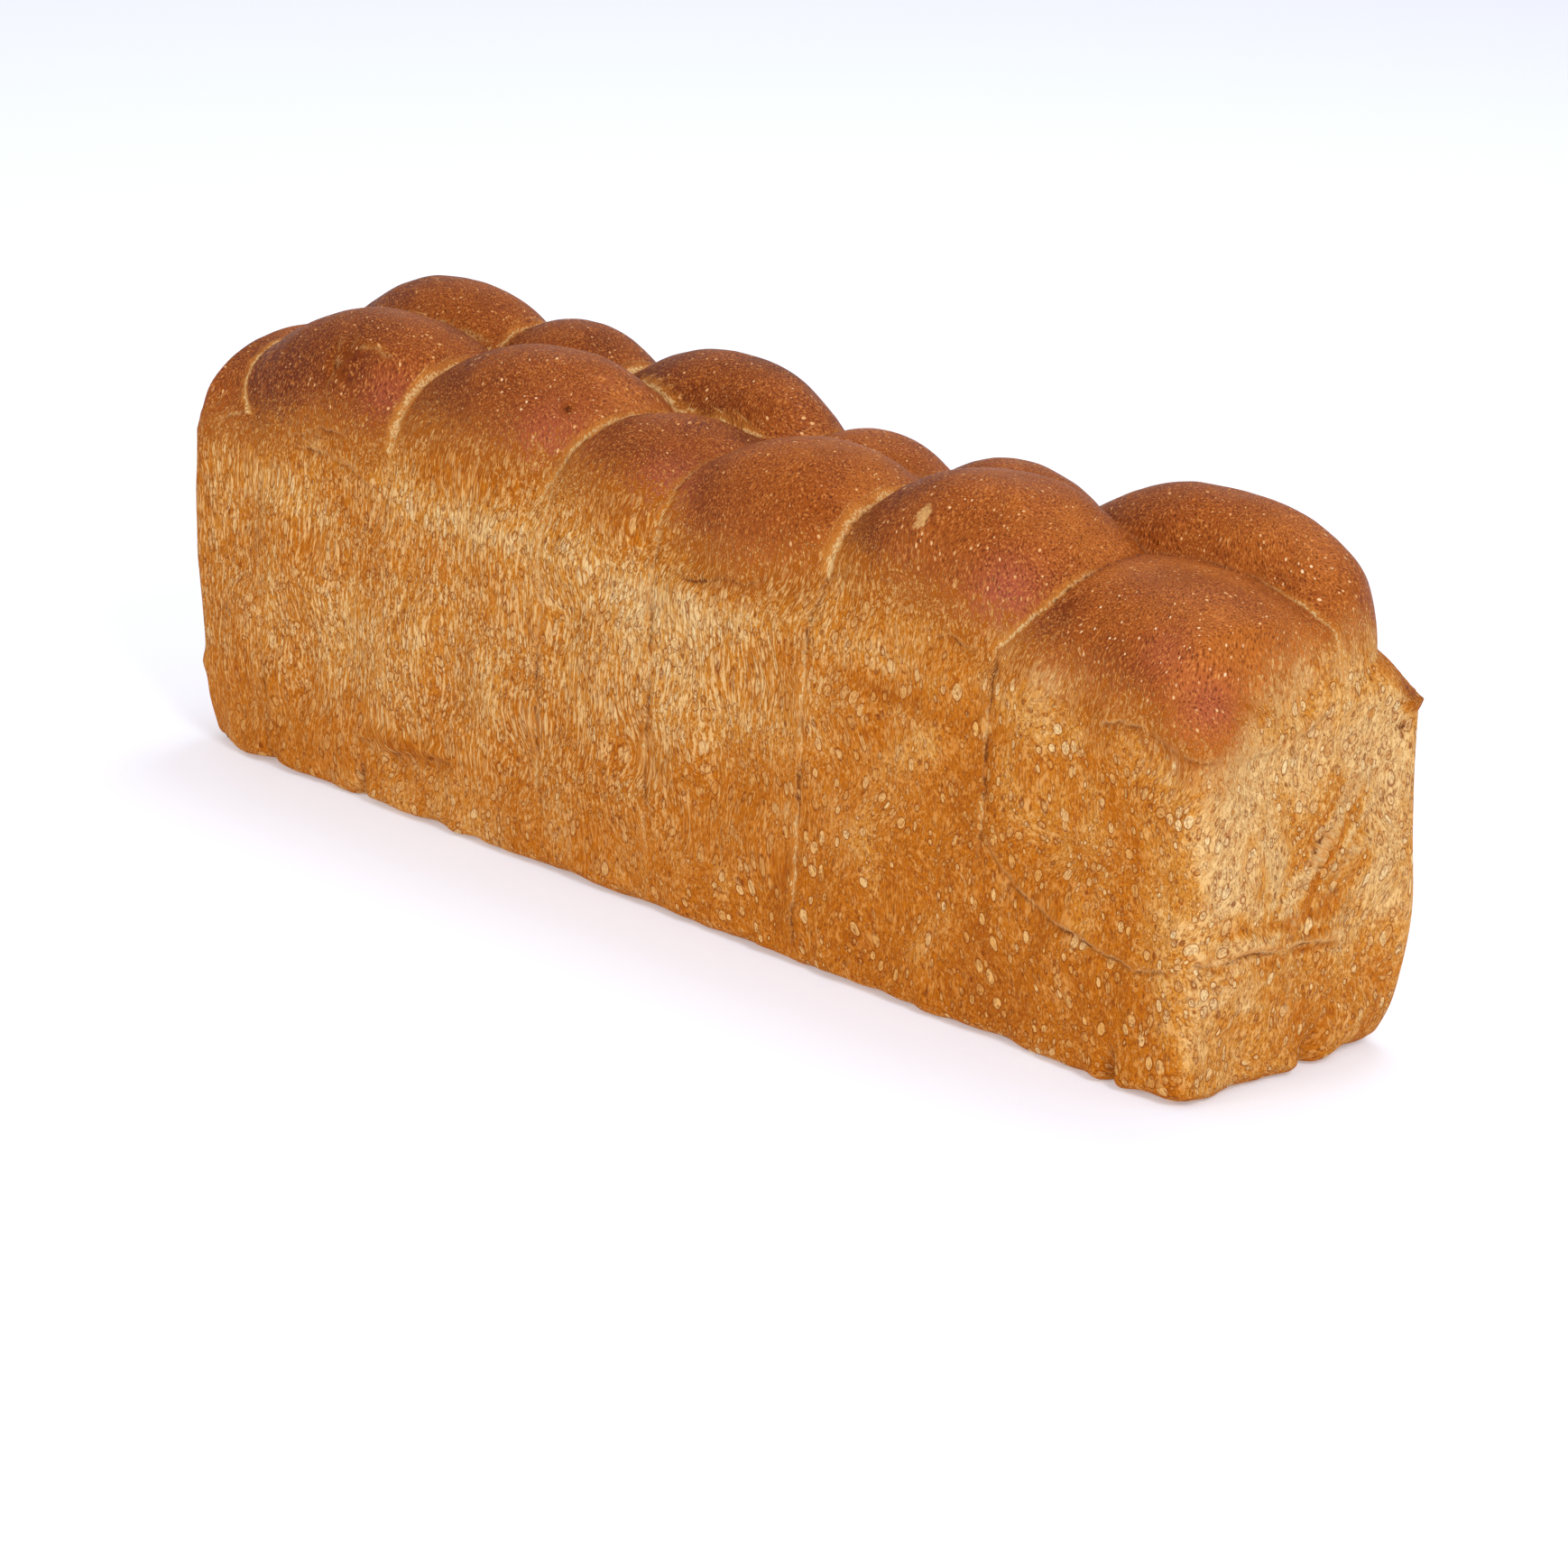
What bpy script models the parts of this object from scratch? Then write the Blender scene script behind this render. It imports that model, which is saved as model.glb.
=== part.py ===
"""A long tin loaf of two rows of dough pieces, baked together in a straight-sided tin.

The loaf is one solid. Up to the rim of the tin it is a box with leaning walls, and above
the rim it is a crown of rounded pieces with creases where they meet: seven along the front,
of which the first is small, and six along the back. Every point of the surface is found by
walking outwards from a core inside the loaf until the loaf ends, so the same few functions
shape the whole of it.

+X is the near end, -Y the front wall, +Z up. The origin is under the middle of the loaf.
"""
import math

import bmesh
import bpy
import numpy as np

# The tin's inside: size at its floor, height of its rim, and how the walls stand.
FLOOR_LENGTH = 0.509
FLOOR_WIDTH = 0.108
RIM = 0.121
WALL_LEAN = 0.018
WALL_BELLY = 0.0012
CORNER_RADIUS = 0.009
FOOT_RADIUS = 0.0045
MIDDLE_X = -0.0018
MIDDLE_Y = 0.0

# Domes over the rim, as (how far in from the wall they reach, height over the rim, power).
FILL_DOME = (0.046, 0.040, 1.7)
SIDE_DOME = (0.036, 0.068, 2.2)
NEAR_END_DOME = (0.054, 0.072, 2.2)
FAR_END_DOME = (0.036, 0.066, 2.0)
PIECE_POWER = 2.2
NEAR_CORNER_RADIUS = 0.044
FAR_CORNER_RADIUS = 0.010
NEAR_CORNER_GROWTH = 1.3
END_BLEND = 0.008

# The pieces of dough: (middle x, crest y, half length, half width, crest height, slant).
FRONT_PIECES = [
    (-0.243, -0.008, 0.050, 0.0465, 0.159, 0.0),
    (-0.182, -0.018, 0.045, 0.037, 0.177, 0.2),
    (-0.094, -0.018, 0.044, 0.037, 0.181, 0.2),
    (-0.027, -0.018, 0.036, 0.037, 0.169, 0.2),
    (0.043, -0.018, 0.042, 0.037, 0.175, 0.2),
    (0.131, -0.018, 0.044, 0.037, 0.183, 0.1),
    (0.207, -0.013, 0.056, 0.045, 0.166, -0.2),
]
BACK_PIECES = [
    (-0.195, 0.027, 0.045, 0.031, 0.1815, 0.0),
    (-0.129, 0.027, 0.035, 0.031, 0.178, 0.0),
    (-0.048, 0.027, 0.043, 0.031, 0.1825, 0.0),
    (0.025, 0.027, 0.033, 0.031, 0.168, 0.0),
    (0.092, 0.027, 0.035, 0.031, 0.1715, 0.0),
    (0.189, 0.027, 0.050, 0.031, 0.1835, 0.0),
]
CREASE_DROP = 0.015
CREASE_NOTCH = 0.004
PIECE_SLOPE = 0.040
CREASE_BLEND = 0.0035
RIM_BLEND = 0.0012
SHOULDER_BLEND = 0.0025

# The ear: a flap of dough that ran over the rim at the back corner of the near end.
EAR_TIP = (0.2602, 0.0470, 0.1220)
EAR_TOP_SLOPE = math.radians(30.0)
EAR_UNDER_SLOPE = math.radians(48.0)
EAR_HALF_WIDTH = 0.009
EAR_RECESS = 0.006
EAR_LIMIT = 0.0535
EAR_ROOT = 0.234
EAR_BLEND = 0.0010

# The lattice of surface points, and the core that they are sought from.
CUTS = (72, 18, 16)
LATTICE_HALF = (0.258, 0.058, 0.089)
CORE_HALF = (0.225, 0.018, 0.0525)
CORE_MIDDLE = (0.0, 0.0, 0.0725)
REACH = 0.09
HALVINGS = 24

CRUST_COLOUR = (0.42, 0.17, 0.05, 1.0)


def smooth_min(a, b, blend):
    """The smaller of two distances, rounded where they are within blend of each other."""
    near = np.maximum(blend - np.abs(a - b), 0.0) / blend
    return np.minimum(a, b) - near * near * blend / 4


def smooth_max(a, b, blend):
    return -smooth_min(-a, -b, blend)


def half_sizes(z):
    """Half the loaf's length and width at height z, inside the tin."""
    height = np.clip(z, 0.0, RIM)
    growth = WALL_LEAN * height + WALL_BELLY * np.sin(np.pi * height / RIM)
    return FLOOR_LENGTH / 2 + growth, FLOOR_WIDTH / 2 + growth


def wall_distance(x, y, z, corner_radius):
    """How far a point is outside the walls, negative inside, with rounded corners."""
    half_length, half_width = half_sizes(z)
    along = np.abs(x) - (half_length - corner_radius)
    across = np.abs(y) - (half_width - corner_radius)
    outside = np.hypot(np.maximum(along, 0.0), np.maximum(across, 0.0))
    return outside + np.minimum(np.maximum(along, across), 0.0) - corner_radius


def dome(wall, z, size):
    """A dome that rises straight from the wall at the rim and flattens inwards."""
    depth, height, power = size
    inwards = np.maximum(1.0 + wall / depth, 0.0)
    upwards = np.maximum(z - RIM, 0.0) / height
    ring = (inwards**power + upwards**power) ** (1 / power)
    return (ring - 1.0) * depth


def shoulders(x, y, z):
    """The outer limit of the crown: it falls steeply to the sides and slowly to the ends."""
    half_length = half_sizes(z)[0]
    corner_radius = np.where(x > 0, NEAR_CORNER_RADIUS, FAR_CORNER_RADIUS)
    limit = dome(wall_distance(x, y, z, corner_radius), z, SIDE_DOME)
    limit = smooth_max(limit, dome(x - half_length, z, NEAR_END_DOME), END_BLEND)
    return smooth_max(limit, dome(-x - half_length, z, FAR_END_DOME), END_BLEND)


def piece(x, y, z, place):
    """One piece of dough, a cushion that drops and narrows towards its two ends."""
    middle, crest_y, half_length, half_width, crest, slant = place
    aside = y - crest_y
    along = np.abs(x - middle - slant * aside) / half_length
    height = np.maximum(crest - RIM - CREASE_DROP * along**2.2, 0.004)
    half_width = np.maximum(half_width - CREASE_NOTCH * along**2.5, 0.004)
    upwards = np.maximum(z - RIM, 0.0) / height
    ring = (np.abs(aside / half_width) ** PIECE_POWER + upwards**PIECE_POWER) ** (1 / PIECE_POWER)
    return (ring - 1.0) * PIECE_SLOPE


def crown(x, y, z):
    """All the pieces together, held inside the shoulders."""
    together = piece(x, y, z, FRONT_PIECES[0])
    for place in FRONT_PIECES[1:] + BACK_PIECES:
        together = smooth_min(together, piece(x, y, z, place), CREASE_BLEND)
    return smooth_max(together, shoulders(x, y, z), SHOULDER_BLEND)


def ear(x, y, z):
    """The flap, a wedge whose top slopes down to a tip and whose underside runs back to the wall."""
    recess = EAR_RECESS * ((y - EAR_TIP[1]) / EAR_HALF_WIDTH) ** 2
    east, up = x - EAR_TIP[0] + recess, z - EAR_TIP[2]
    top = east * np.sin(EAR_TOP_SLOPE) + up * np.cos(EAR_TOP_SLOPE)
    under = east * np.sin(EAR_UNDER_SLOPE) - up * np.cos(EAR_UNDER_SLOPE)
    wedge = smooth_max(top, under, EAR_BLEND)
    return np.maximum(smooth_max(wedge, y - EAR_LIMIT, EAR_BLEND), EAR_ROOT - x)


def fill(x, y, z):
    """The dough under the pieces, which fills the tin and domes over it."""
    growth = np.where(x > 0, NEAR_CORNER_GROWTH, 0.0) * np.maximum(z - RIM, 0.0)
    return dome(wall_distance(x, y, z, CORNER_RADIUS + growth), z, FILL_DOME)


def loaf_distance(x, y, z):
    """Below zero inside the loaf and above zero outside it."""
    wall = wall_distance(x, y, z, CORNER_RADIUS)
    body = smooth_max(crown(x, y, z), wall, RIM_BLEND)
    body = smooth_min(fill(x, y, z), body, RIM_BLEND)
    body = smooth_min(body, ear(x, y, z), EAR_BLEND)
    foot = np.hypot(np.maximum(wall + FOOT_RADIUS, 0.0), np.maximum(FOOT_RADIUS - z, 0.0))
    return np.where(z < FOOT_RADIUS, np.maximum(foot - FOOT_RADIUS, -z), body)


def seek_surface(points):
    """Move the lattice's points out from, or in towards, the core onto the loaf's surface."""
    core_low = np.subtract(CORE_MIDDLE, CORE_HALF)
    core_high = np.add(CORE_MIDDLE, CORE_HALF)
    start = np.clip(points, core_low, core_high)
    heading = points - start
    heading /= np.linalg.norm(heading, axis=1)[:, None]
    nearest = np.zeros(len(points))
    furthest = np.full(len(points), REACH)
    for _ in range(HALVINGS):
        middle = (nearest + furthest) / 2
        inside = loaf_distance(*(start + heading * middle[:, None]).T) < 0
        nearest = np.where(inside, middle, nearest)
        furthest = np.where(inside, furthest, middle)
    return start + heading * ((nearest + furthest) / 2)[:, None]


def lattice_box():
    """A box cut into a lattice of quads along each of its three directions."""
    mesh = bmesh.new()
    bmesh.ops.create_cube(mesh, size=2.0)
    for axis, count in enumerate(CUTS):
        along = [e for e in mesh.edges if abs(e.verts[0].co[axis] - e.verts[1].co[axis]) > 1e-6]
        bmesh.ops.subdivide_edges(mesh, edges=along, cuts=count - 1, use_grid_fill=True)
    bmesh.ops.translate(mesh, verts=mesh.verts, vec=(0.0, 0.0, 1.0))
    bmesh.ops.scale(mesh, verts=mesh.verts, vec=LATTICE_HALF)
    return mesh


def make_loaf(collection, material):
    mesh = lattice_box()
    points = seek_surface(np.array([v.co[:] for v in mesh.verts]))
    points += (MIDDLE_X, MIDDLE_Y, 0.0)
    for vertex, point in zip(mesh.verts, points):
        vertex.co = point
    bmesh.ops.triangulate(mesh, faces=mesh.faces[:])
    data = bpy.data.meshes.new("loaf")
    mesh.to_mesh(data)
    mesh.free()
    data.shade_smooth()
    data.materials.append(material)
    loaf = bpy.data.objects.new("loaf", data)
    collection.objects.link(loaf)
    return loaf


def make_crust():
    crust = bpy.data.materials.new("crust")
    crust.use_nodes = True
    shader = crust.node_tree.nodes["Principled BSDF"]
    shader.inputs["Base Color"].default_value = CRUST_COLOUR
    shader.inputs["Roughness"].default_value = 0.5
    shader.inputs["Metallic"].default_value = 0.0
    crust.diffuse_color = CRUST_COLOUR
    return crust


def clear_scene():
    for old in list(bpy.data.objects):
        bpy.data.objects.remove(old, do_unlink=True)


def main():
    clear_scene()
    collection = bpy.data.collections.new("tin_loaf")
    bpy.context.scene.collection.children.link(collection)
    make_loaf(collection, make_crust())


main()
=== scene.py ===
"""The looks of the tin loaf: its baked crust, creases, seams, pores and blisters."""

import math
from functools import reduce
from types import SimpleNamespace

import bmesh
import bpy
import numpy as np
from mathutils import Matrix, Vector
from mathutils.kdtree import KDTree


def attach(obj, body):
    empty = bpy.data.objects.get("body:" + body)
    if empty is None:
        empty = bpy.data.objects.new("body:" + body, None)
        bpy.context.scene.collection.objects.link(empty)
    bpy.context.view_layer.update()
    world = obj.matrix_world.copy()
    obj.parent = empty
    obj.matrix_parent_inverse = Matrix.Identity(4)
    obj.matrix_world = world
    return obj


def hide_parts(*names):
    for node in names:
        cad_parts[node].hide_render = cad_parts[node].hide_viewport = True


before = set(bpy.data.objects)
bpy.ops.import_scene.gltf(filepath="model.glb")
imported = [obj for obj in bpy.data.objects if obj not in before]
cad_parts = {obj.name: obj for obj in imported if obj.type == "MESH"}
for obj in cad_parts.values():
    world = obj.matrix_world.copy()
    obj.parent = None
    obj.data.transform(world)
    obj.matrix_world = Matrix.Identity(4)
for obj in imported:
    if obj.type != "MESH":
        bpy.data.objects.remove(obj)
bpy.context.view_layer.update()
scene = bpy.context.scene

# ---------------- the loaf's shape, as in CAD
FLOOR_LENGTH = 0.509
FLOOR_WIDTH = 0.108
RIM = 0.121
WALL_LEAN = 0.018
WALL_BELLY = 0.0012
CORNER_RADIUS = 0.009
FOOT_RADIUS = 0.0045
MIDDLE_X = -0.0018

FILL_DOME = (0.046, 0.04, 1.7)
SIDE_DOME = (0.036, 0.068, 2.2)
NEAR_END_DOME = (0.054, 0.072, 2.2)
FAR_END_DOME = (0.036, 0.066, 2.0)
PIECE_POWER = 2.2
NEAR_CORNER_RADIUS = 0.044
FAR_CORNER_RADIUS = 0.01
NEAR_CORNER_GROWTH = 1.3
END_BLEND = 0.008

# The pieces of dough: (middle x, crest y, half length, half width, crest height, slant).
FRONT_PIECES = [
    (-0.243, -0.008, 0.05, 0.0465, 0.159, 0.0),
    (-0.182, -0.018, 0.045, 0.037, 0.177, 0.2),
    (-0.094, -0.018, 0.044, 0.037, 0.181, 0.2),
    (-0.027, -0.018, 0.036, 0.037, 0.169, 0.2),
    (0.043, -0.018, 0.042, 0.037, 0.175, 0.2),
    (0.131, -0.018, 0.044, 0.037, 0.183, 0.1),
    (0.207, -0.013, 0.056, 0.045, 0.166, -0.2),
]
BACK_PIECES = [
    (-0.195, 0.027, 0.045, 0.031, 0.1815, 0.0),
    (-0.129, 0.027, 0.035, 0.031, 0.178, 0.0),
    (-0.048, 0.027, 0.043, 0.031, 0.1825, 0.0),
    (0.025, 0.027, 0.033, 0.031, 0.168, 0.0),
    (0.092, 0.027, 0.035, 0.031, 0.1715, 0.0),
    (0.189, 0.027, 0.05, 0.031, 0.1835, 0.0),
]
CREASE_DROP = 0.015
CREASE_DROP_POWER = 2.2
CREASE_NOTCH = 0.004
CREASE_NOTCH_POWER = 2.5
LEAST_SIZE = 0.004
PIECE_SLOPE = 0.04
CREASE_BLEND = 0.0016
RIM_BLEND = 0.0012
SHOULDER_BLEND = 0.0025

EAR_TIP = (0.2602, 0.047, 0.122)
EAR_TOP_SLOPE = math.radians(30.0)
EAR_UNDER_SLOPE = math.radians(48.0)
EAR_HALF_WIDTH = 0.009
EAR_RECESS = 0.006
EAR_LIMIT = 0.0535
EAR_ROOT = 0.234
EAR_BLEND = 0.001

# The lattice of surface points: fine enough for creases, under 200,000 triangles.
CUTS = (300, 66, 80)
LATTICE_HALF = (0.258, 0.058, 0.089)
CORE_HALF = (0.225, 0.018, 0.0525)
CORE_MIDDLE = (0.0, 0.0, 0.0725)
REACH = 0.09
HALVINGS = 22


def smooth_min(a, b, blend):
    """The smaller of two distances, rounded where they are within blend of each other."""
    near = np.maximum(blend - np.abs(a - b), 0.0) / blend
    return np.minimum(a, b) - near * near * blend / 4


def smooth_max(a, b, blend):
    return -smooth_min(-a, -b, blend)


def half_sizes(z):
    """Half the loaf's length and width at height z, inside the tin."""
    height = np.clip(z, 0.0, RIM)
    growth = WALL_LEAN * height + WALL_BELLY * np.sin(np.pi * height / RIM)
    return FLOOR_LENGTH / 2 + growth, FLOOR_WIDTH / 2 + growth


def wall_distance(x, y, z, corner_radius):
    """How far a point is outside the walls, negative inside, with rounded corners."""
    half_length, half_width = half_sizes(z)
    along = np.abs(x) - (half_length - corner_radius)
    across = np.abs(y) - (half_width - corner_radius)
    outside = np.hypot(np.maximum(along, 0.0), np.maximum(across, 0.0))
    return outside + np.minimum(np.maximum(along, across), 0.0) - corner_radius


def dome(wall, z, size):
    """A dome that rises straight from the wall at the rim and flattens inwards."""
    depth, height, power = size
    inwards = np.maximum(1.0 + wall / depth, 0.0)
    upwards = np.maximum(z - RIM, 0.0) / height
    ring = (inwards**power + upwards**power) ** (1 / power)
    return (ring - 1.0) * depth


def shoulders(x, y, z):
    """The outer limit of the crown: it falls steeply to the sides and slowly to the ends."""
    half_length = half_sizes(z)[0]
    corner_radius = np.where(x > 0, NEAR_CORNER_RADIUS, FAR_CORNER_RADIUS)
    limit = dome(wall_distance(x, y, z, corner_radius), z, SIDE_DOME)
    limit = smooth_max(limit, dome(x - half_length, z, NEAR_END_DOME), END_BLEND)
    return smooth_max(limit, dome(-x - half_length, z, FAR_END_DOME), END_BLEND)


def piece(x, y, z, place):
    """One piece of dough, a cushion that drops and narrows towards its two ends."""
    middle, crest_y, half_length, half_width, crest, slant = place
    aside = y - crest_y
    along = np.abs(x - middle - slant * aside) / half_length
    height = np.maximum(crest - RIM - CREASE_DROP * along**CREASE_DROP_POWER, LEAST_SIZE)
    half_width = np.maximum(half_width - CREASE_NOTCH * along**CREASE_NOTCH_POWER, LEAST_SIZE)
    upwards = np.maximum(z - RIM, 0.0) / height
    ring = (np.abs(aside / half_width) ** PIECE_POWER + upwards**PIECE_POWER) ** (1 / PIECE_POWER)
    return (ring - 1.0) * PIECE_SLOPE


def crown(x, y, z):
    """All the pieces together, held inside the shoulders."""
    together = piece(x, y, z, FRONT_PIECES[0])
    for place in FRONT_PIECES[1:] + BACK_PIECES:
        together = smooth_min(together, piece(x, y, z, place), CREASE_BLEND)
    return smooth_max(together, shoulders(x, y, z), SHOULDER_BLEND)


def ear(x, y, z):
    """The flap, a wedge whose top slopes down to a tip and whose underside runs back to the wall."""
    recess = EAR_RECESS * ((y - EAR_TIP[1]) / EAR_HALF_WIDTH) ** 2
    east, up = x - EAR_TIP[0] + recess, z - EAR_TIP[2]
    top = east * np.sin(EAR_TOP_SLOPE) + up * np.cos(EAR_TOP_SLOPE)
    under = east * np.sin(EAR_UNDER_SLOPE) - up * np.cos(EAR_UNDER_SLOPE)
    wedge = smooth_max(top, under, EAR_BLEND)
    return np.maximum(smooth_max(wedge, y - EAR_LIMIT, EAR_BLEND), EAR_ROOT - x)


def fill(x, y, z):
    """The dough under the pieces, which fills the tin and domes over it."""
    growth = np.where(x > 0, NEAR_CORNER_GROWTH, 0.0) * np.maximum(z - RIM, 0.0)
    return dome(wall_distance(x, y, z, CORNER_RADIUS + growth), z, FILL_DOME)


def loaf_distance(x, y, z):
    """Below zero inside the loaf and above zero outside it."""
    wall = wall_distance(x, y, z, CORNER_RADIUS)
    body = smooth_max(crown(x, y, z), wall, RIM_BLEND)
    body = smooth_min(fill(x, y, z), body, RIM_BLEND)
    body = smooth_min(body, ear(x, y, z), EAR_BLEND)
    foot = np.hypot(np.maximum(wall + FOOT_RADIUS, 0.0), np.maximum(FOOT_RADIUS - z, 0.0))
    return np.where(z < FOOT_RADIUS, np.maximum(foot - FOOT_RADIUS, -z), body)


def seek_surface(points):
    """Move the lattice's points out from, or in towards, the core onto the loaf's surface."""
    core_low = np.subtract(CORE_MIDDLE, CORE_HALF)
    core_high = np.add(CORE_MIDDLE, CORE_HALF)
    start = np.clip(points, core_low, core_high)
    heading = points - start
    heading /= np.linalg.norm(heading, axis=1)[:, None]
    nearest = np.zeros(len(points))
    furthest = np.full(len(points), REACH)
    for _ in range(HALVINGS):
        middle = (nearest + furthest) / 2
        inside = loaf_distance(*(start + heading * middle[:, None]).T) < 0
        nearest = np.where(inside, middle, nearest)
        furthest = np.where(inside, furthest, middle)
    return start + heading * ((nearest + furthest) / 2)[:, None]


def gradient(field, points, step=0.0004):
    """How fast a field changes along each axis at every point."""
    changes = []
    for axis in range(3):
        shift = np.zeros(3)
        shift[axis] = step
        change = field(*(points + shift).T) - field(*(points - shift).T)
        changes.append(change / (2 * step))
    return np.stack(changes, axis=1)


def unit(vectors):
    return vectors / np.maximum(np.linalg.norm(vectors, axis=1), 1e-9)[:, None]


# ---------------- noise and soft shapes
def noise(points, size, seed):
    """Smooth noise from -1 to 1 whose bumps are about size across; size may differ by axis."""
    place = points / np.asarray(size, float) + 100.0 + seed * 7.31
    cell = np.floor(place).astype(np.int64)
    part = place - cell
    ease = part * part * (3 - 2 * part)
    total = np.zeros(len(points))
    for corner in np.ndindex(2, 2, 2):
        at = cell + corner
        code = at[:, 0] * 374761393 + at[:, 1] * 668265263 + at[:, 2] * 2147483647 + seed * 974711
        code = (code ^ (code >> 13)) * 1274126177
        value = ((code ^ (code >> 16)) & 0xFFFF) / 32767.5 - 1.0
        weight = np.prod(np.where(corner, ease, 1 - ease), axis=1)
        total += weight * value
    return total


def waves(points, marks, share=1.0):
    """Several noises added up, each (amount, size, seed)."""
    total = 0.0
    for amount, size, seed in marks:
        total = total + amount * share * noise(points, size, seed)
    return total


def step(low, high, value):
    """0 below low, 1 above high, and smooth between them."""
    share = np.clip((value - low) / (high - low), 0.0, 1.0)
    return share * share * (3 - 2 * share)


def bell(distance, width):
    return np.exp(-((distance / width) ** 2))


def apart(points, middle):
    return np.linalg.norm(points - middle, axis=1)


def add_spots(total, points, spots):
    """Add soft round spots to a field, each (x, y, z, radius, amount) in millimetres."""
    points = 1000 * points
    for *middle, radius, amount in spots:
        total = total + amount * bell(apart(points, middle), radius)
    return total


# ---------------- lines: creases, seams and folds
# A strip that ends at this y runs on across the whole crown.
THROUGH = 0.06
# Creases from the far end on: (dark, pale, width of the pale strip, y where that strip ends). In these
# tables dark sets a line's brown edge and dark core, which are partly painted shade in the crease.
FRONT_CREASES = [
    (0.45, 0.9, 0.0013, THROUGH), (0.5, 1.0, 0.003, -0.014), (0.8, 1.0, 0.0015, THROUGH),
    (0.9, 0.5, 0.0011, -0.012), (0.6, 1.0, 0.0025, THROUGH), (0.85, 1.0, 0.0011, -0.029),
]
BACK_CREASES = [
    (0.6, 1.0, 0.0018, THROUGH), (0.5, 1.0, 0.0036, THROUGH), (0.8, 0.7, 0.0014, THROUGH),
    (0.8, 0.6, 0.0012, THROUGH), (0.8, 0.7, 0.0013, THROUGH),
]
# The valley between the rows, by x: (x, dark, pale, width).
VALLEY = [
    (-0.24, 0.4, 0.5, 0.0011), (-0.18, 0.4, 1.0, 0.0019), (-0.1, 0.5, 0.5, 0.0012),
    (-0.07, 0.4, 1.0, 0.0022), (-0.04, 0.4, 1.0, 0.003), (-0.01, 0.4, 0.9, 0.0024), (0.06, 0.4, 0.2, 0.001),
    (0.18, 0.5, 0.05, 0.0008), (0.222, 0.5, 0.05, 0.0008), (0.234, 0.4, 0.9, 0.0009),
]
# Seams down the walls where pieces were pressed together: (x, top z, low z, dark, pale, lean of its top).
FRONT_SEAMS = [
    (-0.213, 0.128, 0.02, 0.25, 0.4, -0.006),
    (-0.1405, 0.134, 0.05, 0.25, 0.5, -0.006),
    (-0.056, 0.14, 0.03, 0.8, 1.0, -0.003),
    (0.0015, 0.136, 0.03, 0.72, 1.0, -0.006),
    (0.077, 0.142, 0.01, 0.78, 1.0, 0.006),
    (0.164, 0.132, 0.068, 0.9, 1.0, -0.004),
]
BACK_SEAMS = [
    (-0.154, 0.136, 0.03, 0.5, 0.7, 0.004),
    (-0.093, 0.136, 0.01, 0.7, 0.8, -0.004),
    (-0.008, 0.134, 0.05, 0.6, 0.5, 0.004),
    (0.059, 0.132, 0.02, 0.5, 0.9, -0.002),
    (0.133, 0.136, 0.035, 0.7, 0.7, 0.004),
]
# Folds: (points along the wall and up, in millimetres, dark, pale, width, height of its welt).
FRONT_FOLDS = [
    ([(164, 70), (185, 55), (200, 50), (220, 45), (236, 44), (258, 48)], 0.9, 0.5, 0.0014, 0.0006),
    ([(-206, 131), (-193, 133), (-183, 138), (-170, 137)], 0.9, 0.6, 0.0012, 0.0006),
    ([(-196, 127), (-177, 129), (-163, 126), (-149, 122)], 0.9, 0.6, 0.0012, 0.0005),
    ([(-257, 125.5), (-246, 127), (-239, 131), (-230, 134)], 0.5, 1.0, 0.0011, 0.0004),
    ([(10, 126), (22, 126.5), (33, 130), (45, 129.5), (54, 133)], 0.9, 0.1, 0.0012, 0.0006),
    ([(134, 132), (143, 134), (153, 130)], 0.9, 0.4, 0.0012, 0.0005),
    ([(212, 121), (220, 124.5), (231, 124)], 0.7, 0.6, 0.0014, 0.0005),
    ([(232, 123.5), (243, 120.5), (257, 118.5)], 0.9, 0.4, 0.0014, 0.0006),
    ([(222.5, 0), (223.5, 8), (221.5, 16)], 0.9, 0.3, 0.001, 0.0003),
    ([(-156, 23.5), (-147, 24.7), (-127, 24), (-103, 28)], 1.0, 0.1, 0.0015, 0.0036),
    ([(-155.5, -6), (-155, 8), (-153.5, 20)], 1.0, 0.1, 0.001, 0.0006),
    ([(-215, 52), (-210.5, 36), (-208.5, 24), (-206.5, -4)], 1.0, 0.5, 0.0012, 0.0008),
    ([(-189, 169), (-185, 164), (-183.5, 157), (-184, 149)], 1.0, 0.8, 0.0009, 0.0006),
    ([(-181, 171), (-180, 165), (-182, 160)], 0.9, 0.6, 0.0009, 0.0005),
    ([(-176, 167), (-170, 168), (-160, 166)], 0.5, 0.9, 0.0008, 0.0003),
]
NEAR_FOLDS = [
    ([(28, 108), (18, 95), (6, 82), (-3, 70), (-8, 58), (-10, 49)], 1.0, 1.0, 0.002, 0.0024),
    ([(32, 84), (19, 74), (9, 63), (0, 52)], 0.4, 0.5, 0.0014, 0.001),
    ([(-53, 50), (-40, 49.5), (-27, 49), (-10, 46.5), (6, 47), (24, 44)], 1.0, 1.0, 0.0018, 0.0024),
    ([(-52, 12), (-34, 24), (-18, 36), (-6, 43)], 0.1, 0.2, 0.0012, 0.0004),
    ([(10, 72), (14, 62), (20, 52), (28, 44)], 0.4, 0.2, 0.001, 0.0005),
    ([(-6, 44), (-5, 34), (-7, 22)], 0.5, 1.0, 0.0013, 0.001),
    ([(9.5, 2), (12, 10), (15, 22)], 0.9, 0.4, 0.0012, 0.0006),
    ([(-50, 119), (-34, 118), (-18, 117.5), (-6, 121), (6, 124)], 0.9, 0.8, 0.0014, 0.0008),
]
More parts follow.
